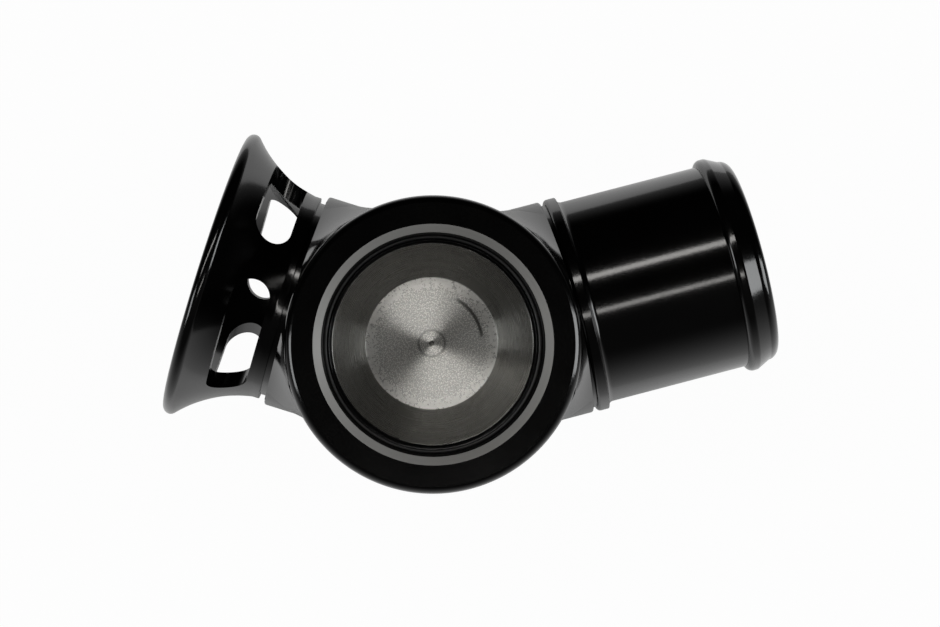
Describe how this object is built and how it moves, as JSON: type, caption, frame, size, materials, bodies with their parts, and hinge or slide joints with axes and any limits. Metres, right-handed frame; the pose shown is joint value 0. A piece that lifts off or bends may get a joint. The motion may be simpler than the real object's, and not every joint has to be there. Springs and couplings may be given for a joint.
{
  "type": "blow off valve",
  "caption": "Piston blow-off valve for a boosted intake: black turned barrel with a threaded inlet mouth on top, a plain hose tail on one side and a slotted trumpet outlet on the other.",
  "frame": {"origin": "on the valve's axis, in the flat lower face of the cap that the valve stands on", "axes": "+Z along the valve's axis, out of the inlet mouth; +X along the hose tail, outwards"},
  "size_m": [0.1125, 0.0717, 0.0803],
  "materials": {
    "black_anodised": "gloss black anodised",
    "turned_aluminium": "turned, uncoated",
    "rubber": "smooth black",
    "slipper_plastic": "filled slipper plastic",
    "spring_steel": "drawn wire",
    "black_steel": "blackened",
    "brass": "turned",
    "copper": "annealed copper"
  },
  "bodies": {
    "valve": {"valve_body": "black_anodised", "inlet_o_ring": "rubber", "hose_tail": "black_anodised", "tail_o_ring": "rubber", "trumpet": "black_anodised", "trumpet_o_ring": "rubber", "piston_spring": "spring_steel", "spring_shim": "spring_steel", "cap": "black_anodised", "cap_o_ring": "rubber", "cap_screws": "black_steel", "vacuum_nipple": "brass", "nipple_washer": "copper"},
    "piston": {"piston": "turned_aluminium", "front_slipper_ring": "slipper_plastic", "front_energiser": "rubber", "rear_slipper_ring": "slipper_plastic", "rear_energiser": "rubber"}
  },
  "joints": [
    {"name": "piston_slide", "type": "slide", "parent": "valve", "child": "piston", "axis": [0, 0, -1], "range_m": [0, 0.017], "stiffness_N_per_m": 1200, "springref_m": -0.02, "deforming": ["piston_spring"]}
  ]
}
